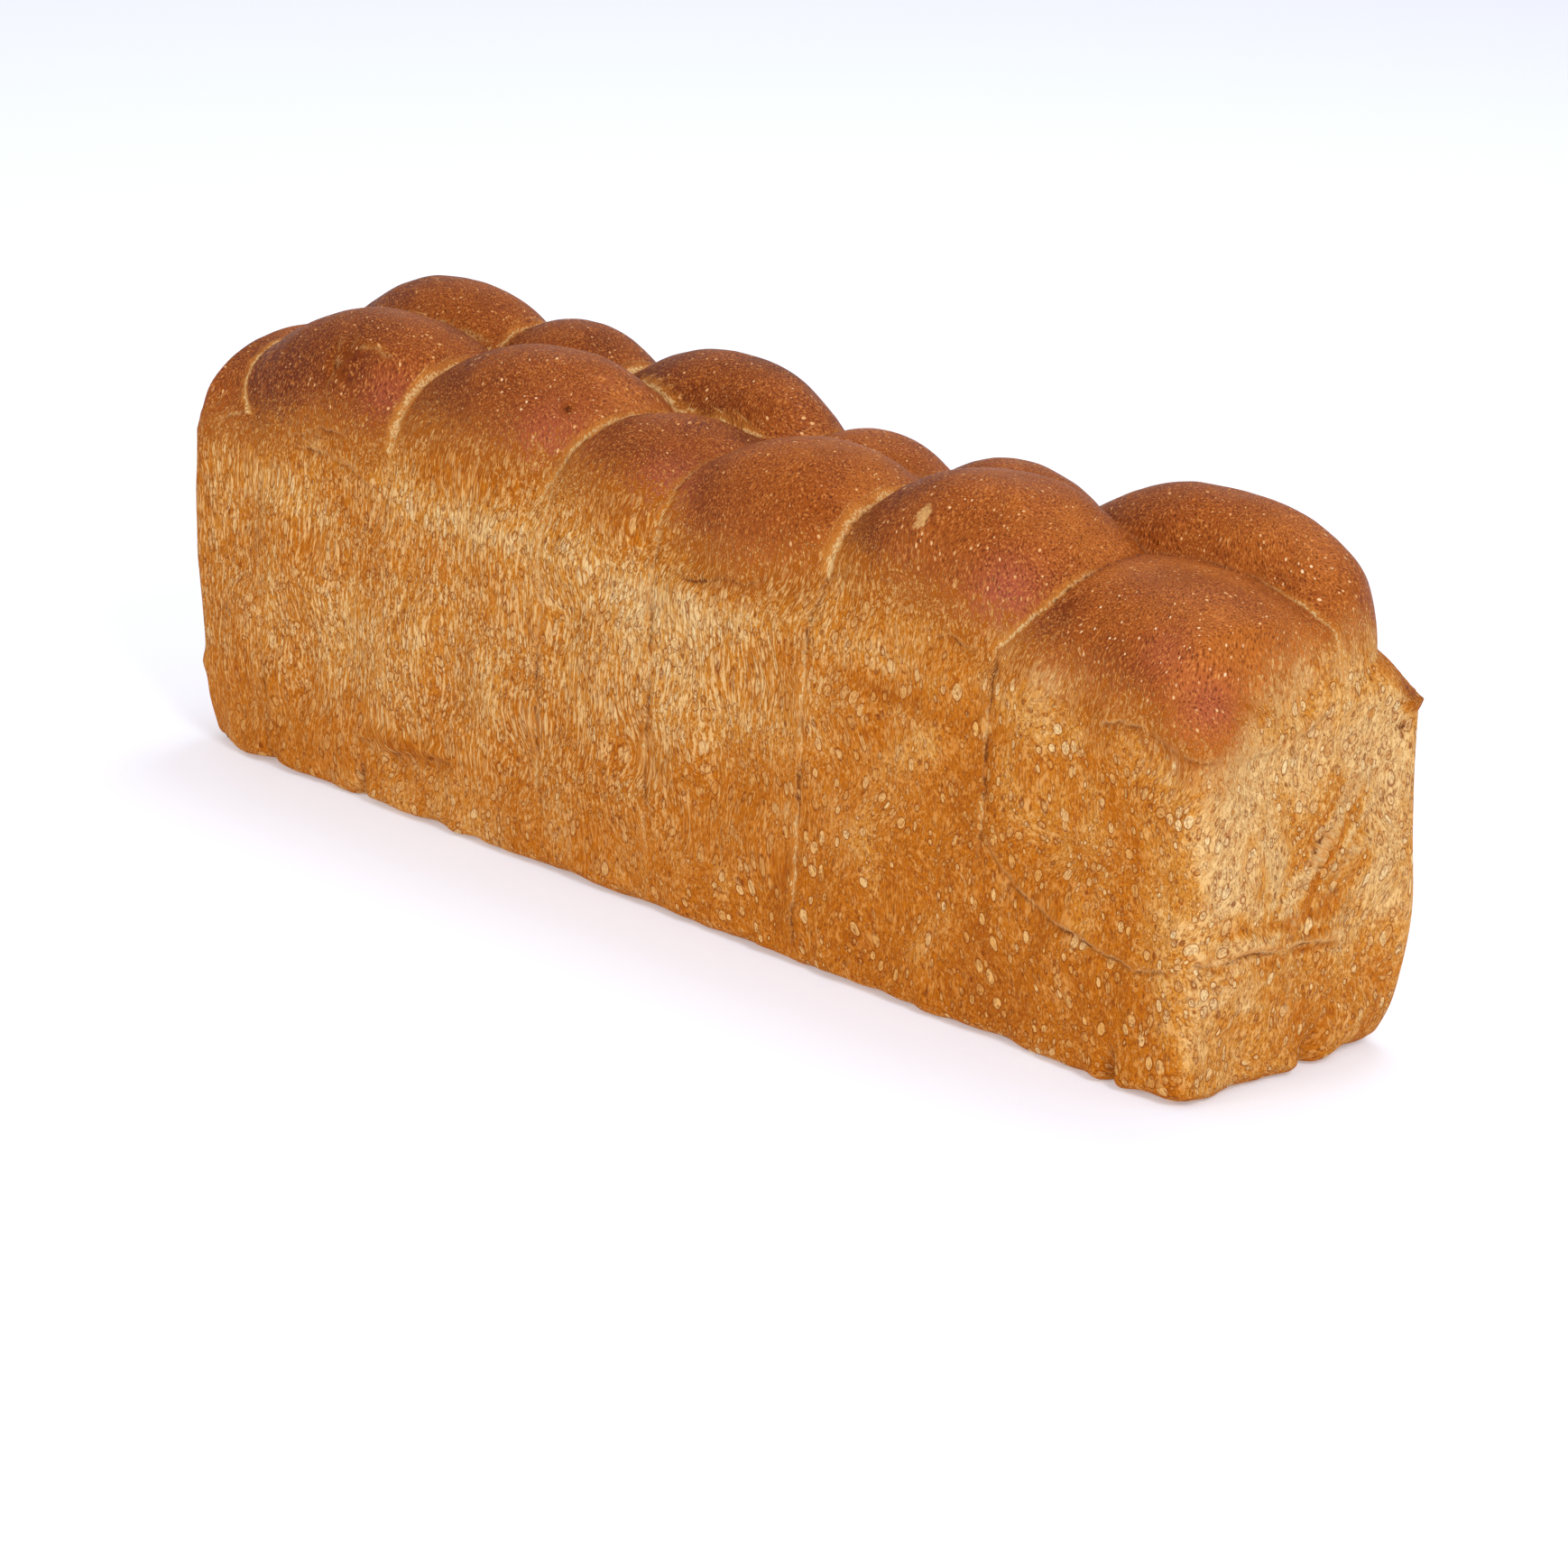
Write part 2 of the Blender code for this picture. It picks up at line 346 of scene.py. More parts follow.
BACK_FOLDS = [
    ([(-133, 36), (-110, 48), (-92, 50), (-70, 58)], 0.7, 0.6, 0.0016, 0.0006),
    ([(30, 125), (46, 128), (58, 126)], 0.9, 0.3, 0.0014, 0.0006),
    ([(150, 30), (172, 24), (196, 27), (214, 34)], 0.7, 0.4, 0.0014, 0.0008),
    ([(-230, 128), (-214, 125), (-198, 127)], 0.8, 0.4, 0.0014, 0.0006),
]
FAR_FOLDS = [
    ([(-34, 100), (-20, 86), (-12, 66), (-10, 48)], 0.6, 0.6, 0.002, 0.0011),
    ([(-44, 46), (-24, 43), (0, 46), (24, 42)], 0.8, 0.6, 0.0018, 0.0009),
    ([(12, 92), (20, 74), (32, 60)], 0.5, 0.6, 0.0016, 0.0007),
    ([(-30, 120), (-8, 117.5), (16, 121)], 0.6, 0.6, 0.0016, 0.0006),
]
# Small pits in the crust: (x, y, z, radius, depth).
PITS = [
    (-0.066, -0.037, 0.1665, 0.0014, 0.001), (-0.01, -0.056, 0.095, 0.0008, 0.0006),
    (0.2565, 0.0435, 0.114, 0.0013, 0.0016), (-0.181, -0.043, 0.165, 0.0016, 0.001),
    (-0.178, -0.047, 0.159, 0.0014, 0.001), (-0.186, -0.044, 0.165, 0.001, 0.0007),
    (-0.184, -0.047, 0.16, 0.0012, 0.0009),
]
LINE_REACH = 0.008
# Between these heights a crease runs out into a pale torn knot.
KNOT_TOP = 0.156
KNOT_LOW = 0.144
KNOT_FADE = 0.65
# How lines wander off their drawn course: (amount, size, seed).
CREASE_WANDER = ((0.0005, 0.006, 16), (0.0003, 0.0035, 17))
SEAM_WANDER = ((0.0018, 0.026, 11), (0.001, 0.008, 12), (0.0005, 0.0035, 14))
FOLD_WANDER = ((0.0016, 0.01, 21), (0.0008, 0.0045, 22))
FOLD_WAVER = ((0.0014, 0.012, 24), (0.0008, 0.005, 25))
# A crease shows where the dough below reaches this far past the crown, between pieces this nearly tied.
CREASE_MARGIN = 0.0012
CREASE_TIE = 0.0008
CREASE_LOW = RIM + 0.012
SEAM_WIDTH = 0.0012
SEAM_WELT = 0.0002
PIT_LINE_WIDTH = 0.001
# The highest part of the walls that seams and folds of the ends can reach.
WALL_TOP = RIM + 0.022
# Stripes of pulled dough run beside this many folds of each end.
STRIPED_FOLDS = 3


class Lines:
    """The nearest line to every point, with its signed distance and how it looks there."""

    def __init__(self, count):
        self.distance = np.full(count, LINE_REACH)
        self.width = np.full(count, 0.001)
        self.dark, self.pale, self.welt = np.zeros((3, count))

    def offer(self, distance, here, dark, pale, width, welt):
        """Take this line where it is the nearest so far. Its negative side holds the pale strip."""
        better = here & (np.abs(distance) < np.abs(self.distance))
        self.distance = np.where(better, distance, self.distance)
        for name, value in (("dark", dark), ("pale", pale), ("width", width), ("welt", welt)):
            setattr(self, name, np.where(better, value, getattr(self, name)))


def true_distance(field, points, normals):
    """Turn a field that is zero on a line into metres along the surface from that line."""
    slope = gradient(field, points)
    along = slope - np.sum(slope * normals, axis=1)[:, None] * normals
    return field(*points.T) / np.maximum(np.linalg.norm(along, axis=1), 0.05)


def closeness(values, here, points, edges):
    """1 beside the line where values change sign, falling to 0 at the reach of a line."""
    first, second = edges.T
    crosses = here[first] & here[second] & (values[first] * values[second] < 0)
    middles = (points[first[crosses]] + points[second[crosses]]) / 2
    near = np.zeros(len(points))
    if len(middles) == 0:
        return near
    tree = KDTree(len(middles))
    for index, middle in enumerate(middles):
        tree.insert(middle, index)
    tree.balance()
    low, high = middles.min(axis=0) - LINE_REACH, middles.max(axis=0) + LINE_REACH
    boxed = here & np.all((points > low) & (points < high), axis=1)
    for index in np.nonzero(boxed)[0]:
        near[index] = tree.find(points[index])[2]
    return np.where(boxed, step(0.8 * LINE_REACH, 0.5 * LINE_REACH, near), 0.0)


def add_creases(lines, points, normals, edges):
    """The creases between neighbours in a row, and the valley between the rows."""
    x, y, z = points.T
    front = [piece(x, y, z, place) for place in FRONT_PIECES]
    back = [piece(x, y, z, place) for place in BACK_PIECES]
    nearest = np.minimum(np.min(front, axis=0), np.min(back, axis=0))
    top = (fill(x, y, z) > crown(x, y, z) - CREASE_MARGIN) & (z > CREASE_LOW)
    patchy = 1 + 0.55 * noise(points, 0.008, 15)

    def offer(field, here, dark, pale, width):
        values = field(x, y, z)
        near = closeness(values, here, points, edges)
        distance = true_distance(field, points, normals)
        distance += waves(points, CREASE_WANDER)
        knot = step(KNOT_TOP, KNOT_LOW, z)
        darker, paler = dark * near * (1 - KNOT_FADE * knot), near * np.maximum(pale * patchy, knot)
        lines.offer(distance, here & (near > 0), darker, paler, width * patchy, 0.0)

    rows = ((FRONT_PIECES, front, FRONT_CREASES), (BACK_PIECES, back, BACK_CREASES))
    for places, row, looks in rows:
        for index, (dark, pale, width, end) in enumerate(looks):
            here = top & (np.minimum(row[index], row[index + 1]) < nearest + CREASE_TIE)
            left, right = places[index], places[index + 1]
            fading = pale * step(end + 0.006, end - 0.006, y)

            def between(a, b, c):
                return piece(a, b, c, left) - piece(a, b, c, right)

            offer(between, here, dark, fading, width)

    def valley(a, b, c):
        rows = [[piece(a, b, c, place) for place in row] for row in (FRONT_PIECES, BACK_PIECES)]
        return np.min(rows[1], axis=0) - np.min(rows[0], axis=0)

    at = [mark[0] for mark in VALLEY]
    dark, pale, width = (np.interp(x, at, [mark[i] for mark in VALLEY]) for i in (1, 2, 3))
    offer(valley, top, dark, pale, width)


def add_seams(lines, points, wall, seams):
    """Seams that run down a long wall; they wander, come and go, and fade at both ends."""
    x, _, z = points.T
    for index, (place, top, low, dark, pale, lean) in enumerate(seams):
        level = np.stack([np.full_like(z, index * 3.0), np.zeros_like(z), z], axis=1)
        spread = step(RIM, top + 0.012, z)
        place_here = place + waves(level, SEAM_WANDER) + lean * spread
        fade = step(low - 0.012, low + 0.008, z) * step(top + 0.004, top - 0.004, z)
        patchy = np.clip(0.66 + 0.7 * noise(level, 0.01, 13), 0.0, 1.0)
        here = wall & (fade > 0.01)
        darker, paler = dark * fade * patchy, pale * fade * (1.2 - patchy)
        lines.offer(x - place_here, here, darker, paler, SEAM_WIDTH, SEAM_WELT)


def fold_place(across, up, corners):
    """Signed distance from a drawn line, and how far along it the nearest place is, 0 to 1."""
    corners = np.array(corners) / 1000
    nearest = np.full(len(up), 1.0)
    run = np.zeros(len(up))
    lengths = np.linalg.norm(np.diff(corners, axis=0), axis=1)
    before = np.concatenate([[0.0], np.cumsum(lengths)])
    for start, end, length, gone in zip(corners[:-1], corners[1:], lengths, before):
        way = (end - start) / length
        a, b = across - start[0], up - start[1]
        share = np.clip(a * way[0] + b * way[1], 0.0, length)
        off = np.hypot(a - share * way[0], b - share * way[1])
        side = np.where(a * way[1] - b * way[0] < 0, -1.0, 1.0)
        better = off < np.abs(nearest)
        nearest = np.where(better, off * side, nearest)
        run = np.where(better, (gone + share) / before[-1], run)
    return nearest, run


def add_fold(lines, across, up, wall, fold):
    """A fold or crease drawn through a few points of a wall, fading at both ends."""
    corners, dark, pale, width, welt = fold
    nearest, run = fold_place(across, up, corners)
    place = np.stack([across, up, np.full_like(up, dark)], axis=1)
    broken = np.clip(0.25 + 0.5 * dark + 0.9 * noise(place, 0.007, 23), 0.0, 1.0)
    fade = np.clip(4 * run, 0.0, 1.0) ** 0.5 * np.clip(4 * (1 - run), 0.0, 1.0) ** 0.5 * broken
    lines.offer(nearest, wall, dark * fade, pale * fade, width, welt * fade)


def find_lines(points, normals, edges):
    lines = Lines(len(points))
    add_creases(lines, points, normals, edges)
    x, y, z = points.T
    low = z < WALL_TOP
    front, back = normals[:, 1] < -0.25, low & (normals[:, 1] > 0.6)
    near, far = low & (normals[:, 0] > 0.5), low & (normals[:, 0] < -0.5)
    add_seams(lines, points, low & (normals[:, 1] < -0.6), FRONT_SEAMS)
    add_seams(lines, points, back, BACK_SEAMS)
    walls = (
        (x, front, FRONT_FOLDS), (x, back, BACK_FOLDS), (y, near, NEAR_FOLDS), (y, far, FAR_FOLDS)
    )
    wander, waver = waves(points, FOLD_WANDER), waves(points, FOLD_WAVER)
    for across, wall, folds in walls:
        for fold in folds:
            add_fold(lines, across + wander, z + waver, wall, fold)
    for px, py, pz, radius, _ in PITS:
        outside = apart(points, (px, py, pz)) - radius
        lines.offer(np.maximum(outside, 0.0), outside < 2 * radius, 1.0, 0.0, PIT_LINE_WIDTH, 0.0)
    close = step(0.9 * LINE_REACH, 0.6 * LINE_REACH, np.abs(lines.distance))
    lines.dark *= close
    lines.pale *= close
    return lines


# ---------------- relief over the plain shape
# Waves of the surface: (amount, size, seed).
WALL_WAVES = ((0.0007, (0.055, 0.055, 0.04), 31), (0.00035, (0.014, 0.014, 0.022), 32))
CROWN_WAVES = ((0.0008, 0.032, 33), (0.0003, 0.011, 34))
FINE_WAVES = ((0.00012, (0.0045, 0.0045, 0.009), 35),)
FOOT_WAVES = ((0.0016, 0.017, 41), (0.0009, 0.006, 42))
# How a line is drawn in relief: its groove and the lip beside it, (height, width), and where the lip runs.
GROOVE = (0.0006, 0.0015)
LIP = (0.0003, 0.0013)
LIP_PLACE = 0.0026
STRIPE_HEIGHT = 0.0004
# Normals from the first to the second of these turn from not facing a wall's way to facing it.
FACING = (0.5, 0.9)
# Notches in the foot, where two pieces met on the tin's floor: (x or y, width, depth).
FRONT_NOTCHES = [(-0.207, 0.004, 0.0034), (-0.1555, 0.003, 0.0052), (0.223, 0.0024, 0.0075)]
BACK_NOTCHES = [(-0.092, 0.005, 0.0026), (0.06, 0.004, 0.002), (0.17, 0.005, 0.0024)]
NEAR_NOTCHES = [(0.01, 0.0038, 0.008)]
FAR_NOTCHES = [(-0.014, 0.004, 0.003)]


def wall_shares(normals):
    """How much each point belongs to the front, back, near and far walls."""
    nx, ny, nz = normals.T
    upright = step(0.65, 0.25, np.abs(nz))
    return [upright * step(*FACING, way) for way in (-ny, ny, nx, -nx)]


def relief(points, lines):
    """How far every point stands proud of the plain shape."""
    crown_share = step(RIM, RIM + 0.015, points[:, 2])
    up = waves(points, WALL_WAVES, 1 - crown_share)
    up = up + waves(points, CROWN_WAVES, crown_share) + waves(points, FINE_WAVES)
    for px, py, pz, radius, depth in PITS:
        up -= depth * bell(apart(points, (px, py, pz)), 1.3 * radius)
    off = np.abs(lines.distance)
    up -= GROOVE[0] * lines.dark * bell(off, GROOVE[1])
    up += LIP[0] * (lines.dark + lines.pale) * bell(off - LIP_PLACE, LIP[1])
    # A welt stands proud on the pale side of its line, with a hollow on the other side.
    spread = 0.0016 + 0.8 * lines.welt
    proud = 1.2 * bell(lines.distance + 1.2 * spread, spread)
    hollow = 0.8 * bell(lines.distance - 0.6 * spread, spread)
    return up + lines.welt * (proud - hollow)


def notches(points):
    """How far the foot is drawn in where two pieces met on the tin's floor."""
    x, y, z = points.T
    inwards = np.zeros(len(x))
    sides = (
        (x, y < -0.03, FRONT_NOTCHES), (x, y > 0.03, BACK_NOTCHES),
        (y, x > 0.23, NEAR_NOTCHES), (y, x < -0.23, FAR_NOTCHES),
    )
    for across, here, marks in sides:
        for place, width, depth in marks:
            off = np.abs(across - place)
            cleft = bell(off, width) - 0.25 * bell(off - 2.2 * width, 1.5 * width)
            inwards += np.where(here, depth * cleft, 0.0)
    return inwards


def side_shift(points):
    """Sideways moves of the walls: clefts and lumps of the foot, one swollen and one worn corner."""
    x, y, z = points.T
    foot = bell(z, 0.01)
    out = foot * waves(points * (1, 1, 0), FOOT_WAVES)
    out -= foot * notches(points)
    swollen = bell(np.hypot(x - 0.256, y - 0.052), 0.026)
    out += swollen * (0.004 * bell(z - 0.042, 0.036) - 0.0046 * bell(z, 0.01))
    worn = bell(np.hypot(x + 0.256, y + 0.052), 0.018)
    out -= worn * (0.004 * bell(z - 0.03, 0.04) + 0.0085 * bell(z, 0.013))
    out += worn * 0.0016 * bell(z - 0.031, 0.004)
    level = points * (1, 1, 0) + (0, 0, 0.02)
    away = unit(gradient(lambda a, b, c: wall_distance(a, b, c, CORNER_RADIUS), level) * (1, 1, 0))
    edge = step(-0.014, -0.001, wall_distance(x, y, np.clip(z, 0.0, RIM), CORNER_RADIUS))
    lift = 0.0013 * edge * bell(z, 0.004) * (1 + noise(points * (1, 1, 0), 0.011, 43))
    return away * (out * edge)[:, None] + np.stack([0 * x, 0 * x, lift], axis=1)


# ---------------- where the crust is brown or pale
# The lowest brown height, by x along the front and, mirrored, the back, and by y across the two ends.
BROWN_FRONT = [
    (-0.262, 0.12), (-0.243, 0.123), (-0.228, 0.124), (-0.215, 0.125), (-0.2, 0.129),
    (-0.181, 0.136), (-0.165, 0.134), (-0.153, 0.134), (-0.142, 0.142), (-0.1, 0.144),
    (-0.06, 0.147), (-0.04, 0.143), (-0.004, 0.141), (0.012, 0.133), (0.045, 0.131),
    (0.068, 0.138), (0.08, 0.143), (0.12, 0.142), (0.142, 0.14), (0.162, 0.137),
    (0.171, 0.133), (0.19, 0.131), (0.207, 0.129), (0.235, 0.123), (0.253, 0.117),
]
BROWN_NEAR = [
    (-0.053, 0.118), (-0.045, 0.118), (-0.036, 0.127), (-0.027, 0.135), (-0.01, 0.143),
    (0.014, 0.149), (0.03, 0.152), (0.042, 0.146), (0.05, 0.138),
]
BROWN_FAR = [(-0.053, 0.12), (-0.02, 0.128), (0.02, 0.135), (0.05, 0.13)]
# Spots and patches are in millimetres. Reddish patches on the pieces: (x, y, z, radius, amount).
ROSY = [
    (-155, -44, 155, 11, 0.7), (-66, -45, 155, 16, 0.9), (-6, -45, 150, 13, 1.0), (160, -47, 152, 13, 1.1),
    (230, -47, 149, 9, 0.6), (246.5, -44, 134, 10.5, 0.95), (60, 50, 150, 18, 0.8),
    (-120, 52, 152, 18, 0.8),
]
# Paler and, under 0, darker patches of the front wall: (x, z, length, height, tilt, amount). The thin dark
# band at x -130, z 27.5 is painted shadow just above the low fold.
FRONT_PATCHES = [
    (-90, 121, 50, 9, 0, 0.8), (-10, 112, 45, 16, -4, 0.75), (35, 116, 30, 8, 0, 0.7),
    (110, 121, 50, 7, -2, 0.18), (180, 117, 30, 6, -8, 0.2), (25, 85, 28, 20, 0, 0.66),
    (-28, 80, 20, 18, 0, 0.35), (120, 109, 45, 4, -3, -0.7), (131, 94, 18, 6, 38, 0.7),
    (205, 85, 40, 18, -20, -0.12), (130, 45, 60, 30, 0, 0.05), (190, 20, 60, 18, 0, -0.55),
    (110, 12, 60, 16, 0, -0.1), (-200, 70, 70, 50, 0, 0.2), (-200, 110, 30, 10, -15, 0.5),
    (-170, 95, 40, 20, 0, -0.15), (-235, 20, 30, 18, 0, -0.5), (-130, 16, 50, 8, 0, -0.15),
    (-130, 27.5, 26, 3.2, 0, -0.9), (-130, 66, 55, 22, 0, 0.4), (245, 90, 14, 50, 0, 0.7),
    (-85, 85, 30, 20, 0, 0.3),
]
# The same for the ends: (y, z, length, height, tilt, amount). The dark band at y -16, z 43 under the low
# fold and the slanted one at y 3.8, z 69.5 beside the steep fold are painted shade; the pale bands beside
# them are the folds' pale crests.
NEAR_PATCHES = [
    (-30, 85, 28, 34, 0, 0.45), (-10, 112, 40, 10, 0, 0.45), (10, 135, 30, 14, 0, 0.25),
    (34, 102, 24, 22, 0, 0.7), (36, 62, 16, 24, 0, 0.78), (14, 66, 10, 18, -35, -0.5),
    (0, 20, 60, 18, 0, -0.75), (-38, 34, 18, 12, 20, 0.1), (-22, 52, 22, 3, -5, 0.9),
    (0, 72, 18, 2.2, 57, 0.9), (3.8, 69.5, 17, 2.8, 57, -0.9), (-16, 43, 22, 3.5, -5, -0.6),
    (-4, 33, 6, 12, 0, 0.4),
]
# Scuffed and torn places, in metres: (x, y, z, reach along x, along y, along z, amount).
SCUFFS = [
    (0.117, -0.043, 0.168, 0.0036, 0.0045, 0.0065, 1.0),
    (-0.1395, -0.055, 0.141, 0.0035, 0.008, 0.006, 0.62),
    (-0.059, -0.054, 0.145, 0.0045, 0.008, 0.005, 0.72),
    (-0.002, -0.054, 0.143, 0.0045, 0.008, 0.006, 0.7),
    (0.076, -0.054, 0.143, 0.004, 0.008, 0.005, 0.66),
    (0.163, -0.054, 0.138, 0.003, 0.008, 0.0045, 0.66),
    (-0.183, -0.046, 0.162, 0.004, 0.005, 0.006, 0.5),
]
# Lighter and, under 0, darker places on the crown: (x, y, z, radius, amount).
CROWN_PATCHES = [
    (180, -46, 150, 14, -0.9), (215, -50, 142, 14, -0.5), (245, -42, 136, 14, 1.0), (257, 46, 126, 9, -0.9),
    (65, -20, 172, 14, 0.4), (-181, -44, 163, 9, -0.8), (-160, -36, 166, 10, 0.3),
]
# Where the crown is thick with small pale blisters: (x, y, z, radius, amount).
BLISTERS = [
    (208, -45, 153, 14, 1.0), (225, -44, 154, 12, 0.9), (243, -36, 146, 16, 0.6), (236, 14, 166, 12, 0.8),
    (-85, -40, 165, 20, 0.5), (128, -30, 175, 20, 0.4), (-30, 20, 178, 16, 0.5),
]
# The browned top of the flap: (x, y, z, radius, amount).
FLAP_BROWN = (257, 47, 126, 8, 2.4)
# Past the first of these x the side's brown height gives way to the end's, and wholly past the second.
END_ZONE = (0.236, 0.254)
BROWN_FADE = 0.013
# How thick with blisters the crown is away from the places above.
FEW_BLISTERS = 0.22


def patches(across, up, marks):
    across, up = 1000 * across, 1000 * up
    total = np.zeros(len(up))
    for place, height, length, tall, tilt, amount in marks:
        turn = math.radians(tilt)
        a = (across - place) * math.cos(turn) + (up - height) * math.sin(turn)
        b = (up - height) * math.cos(turn) - (across - place) * math.sin(turn)
        total += amount * np.exp(-((a / length) ** 2) - (b / tall) ** 2)
    return total


def brown_share(points, normals):
    """0 on the golden walls and 1 on the browned crown; it starts at a different height all round."""
    x, y, z = points.T
    front = np.interp(x, *zip(*BROWN_FRONT))
    back = np.interp(-x, *zip(*BROWN_FRONT)) - 0.002
    near = np.interp(y, *zip(*BROWN_NEAR))
    far = np.interp(y, *zip(*BROWN_FAR))
    start = front * step(0.0, -0.02, y) + back * step(-0.02, 0.0, y)
    start = start + (near - start) * step(*END_ZONE, x)
    start = start + (far - start) * step(*END_ZONE, -x)
    start = start + 0.0025 * noise(points, 0.016, 51)
    return add_spots((z - start) / BROWN_FADE, points, [FLAP_BROWN])


def porous_share(points):
    """1 where the wall is pored rather than streaked: low down, and towards the near end."""
    x, _, z = points.T
    return np.clip(step(0.02, 0.15, x + 0.8 * (0.075 - z)) + 0.6 * step(0.045, 0.01, z), 0.0, 1.0)


def fold_stripes(points, folds, wall):
    """Stripes from -1 to 1 that run beside the first folds of an end, as pulled dough does."""
    _, y, z = points.T
    stripes = np.zeros(len(y))
    for seed, fold in enumerate(folds[:STRIPED_FOLDS]):
        distance, run = fold_place(y, z, fold[0])
        across = distance / 0.0017 + 1.8 * noise(points, 0.011, 71 + seed)
        grain = noise(np.stack([across, run * 2.0, np.zeros_like(run)], axis=1), 1.0, 75 + seed)
        ends = np.clip(5 * run, 0.0, 1.0) * np.clip(5 * (1 - run), 0.0, 1.0)
        stripes += grain * bell(distance, 0.018) * ends
    return np.clip(stripes * wall * 1.5, -1.0, 1.0)


# How light each piece is, front row then back row.
PIECE_TONES = (-0.4, -0.5, -0.05, -0.55, 0.35, 0.0, 0.38, -0.15, -0.25, -0.75, -0.2, -0.2, 0.05)
# Lighter near sides and darker far sides and backs of the pieces: partly browning, partly painted light and
# painted shade by where the key lamp falls.
NEAR_SIDE_LIGHT = 0.44
FAR_SIDE_DARK = 0.85
BACK_SIDE_DARK = 0.75


def piece_browning(points):
    """Each piece is darkest over its far side and back, and lightest beside the crease at its near end:
    partly its own browning, partly painted shade on the sides turned from the key lamp and painted light on
    the side turned to it.
    """
    x, y, z = points.T
    places = FRONT_PIECES + BACK_PIECES
    every = np.stack([piece(x, y, z, place) for place in places])
    winner = np.argmin(every, axis=0)
    middle, crest_y, half_length, half_width = np.array(places)[winner, :4].T
    along = (x - middle) / half_length
    over = (y - crest_y) / half_width
    light = NEAR_SIDE_LIGHT * step(0.35, 1.0, along) - FAR_SIDE_DARK * step(-0.1, -0.9, along)
    return light - BACK_SIDE_DARK * step(0.05, 0.6, over) + np.array(PIECE_TONES)[winner]


# Mottling of the walls' tone: (size, amount, seed).
TONE_NOISE = ((0.04, 0.35, 61), (0.018, 0.3, 62), (0.009, 0.35, 63), (0.0045, 0.3, 64))
CLOUD_NOISE = ((0.5, 0.03, 65), (0.35, 0.013, 66))


def pushed(points, size, amount, seed):
    """The points pushed about by up to amount, over bumps of that size, to bend a pattern."""
    pushes = [noise(points, size, seed + axis) for axis in range(3)]
    return points + amount * np.stack(pushes, axis=1)


def crust_fields(points, normals, lines):
    """The named numbers that the crust's material reads at every point."""
    x, y, z = points.T
    front, back, near, far = wall_shares(normals)
    scuff = np.zeros(len(x))
    for place in SCUFFS:
        reaches = np.linalg.norm((points - place[:3]) / np.array(place[3:6]), axis=1)
        scuff = np.maximum(scuff, place[6] * bell(reaches, 1.0))
    tone = front * patches(x, z, FRONT_PATCHES) + near * (0.6 + patches(y, z, NEAR_PATCHES))
    tone += far * (0.2 + 0.7 * patches(y, z, NEAR_PATCHES))
    tone += back * patches(-x, z, FRONT_PATCHES[:4])
    tone += 0.25 * bell(np.hypot(x - 0.262, y + 0.061), 0.014)
    bent = pushed(points, 0.02, 0.005, 81)
    porous = porous_share(points)
    blotchy = 0.55 + 0.45 * porous
    for size, amount, seed in TONE_NOISE:
        tone += amount * blotchy * noise(bent, (size, size, 1.7 * size), seed)
    # The crown's cloudy tone, with each piece's browning and painted shade added.
    cloud = waves(points, CLOUD_NOISE) + 0.2 * noise(bent, 0.006, 67) + piece_browning(points)
    return {
        "line": lines.distance,
        "line_dark": lines.dark,
        "line_pale": lines.pale,
        "line_width": lines.width,
        "brown": brown_share(points, normals),
        "rosy": add_spots(np.zeros(len(x)), points, ROSY),
        "tone": tone,
        "cloud": add_spots(cloud, points, CROWN_PATCHES),
        "porous": porous,
        "scuff": scuff,
        "blister": add_spots(np.full(len(x), FEW_BLISTERS), points, BLISTERS),
        "flow": bent,
        "curl": pushed(bent, 0.0065, 0.0012, 84),
    }


# ---------------- the loaf's mesh
def lattice_box():
    """A box cut into a lattice of quads along each of its three directions."""
    mesh = bmesh.new()
    bmesh.ops.create_cube(mesh, size=2.0)
    for axis, count in enumerate(CUTS):
        along = [e for e in mesh.edges if abs(e.verts[0].co[axis] - e.verts[1].co[axis]) > 1e-6]
        bmesh.ops.subdivide_edges(mesh, edges=along, cuts=count - 1, use_grid_fill=True)
    bmesh.ops.translate(mesh, verts=mesh.verts, vec=(0.0, 0.0, 1.0))
    bmesh.ops.scale(mesh, verts=mesh.verts, vec=LATTICE_HALF)
    return mesh


def make_loaf():
    mesh = lattice_box()
    mesh.verts.index_update()
    points = seek_surface(np.array([v.co[:] for v in mesh.verts]))
    normals = unit(gradient(loaf_distance, points))
    edges = np.array([(e.verts[0].index, e.verts[1].index) for e in mesh.edges])
    lines = find_lines(points, normals, edges)
    stripes = (
        fold_stripes(points, NEAR_FOLDS, normals[:, 0] > 0.5)
        + fold_stripes(points, FAR_FOLDS, normals[:, 0] < -0.5)
    )
    up = relief(points, lines) + STRIPE_HEIGHT * stripes
    fields = crust_fields(points, normals, lines)
    fields["stripes"] = stripes
    up *= step(0.0, 0.002, points[:, 2])
    points = points + normals * up[:, None] + side_shift(points) + (MIDDLE_X, 0.0, 0.0)
    points[:, 2] = np.maximum(points[:, 2], 0.0)
    for vertex, point in zip(mesh.verts, points):
        vertex.co = point
    data = bpy.data.meshes.new("loaf_crust")
    mesh.to_mesh(data)
    mesh.free()
    data.shade_smooth()
    for name, values in fields.items():
        flat = values.ndim == 1
        attribute = data.attributes.new(name, "FLOAT" if flat else "FLOAT_VECTOR", "POINT")
        attribute.data.foreach_set("value" if flat else "vector", values.astype(np.float32).ravel())
    loaf = bpy.data.objects.new("loaf_crust", data)
    scene.collection.objects.link(loaf)
    return loaf


# ---------------- materials
def colour(*parts):
    """A colour as a screen shows it, each part from 0 to 255, turned into light."""
    shares = [part / 255 for part in parts]
    return (*[s / 12.92 if s <= 0.04045 else ((s + 0.055) / 1.055) ** 2.4 for s in shares], 1.0)


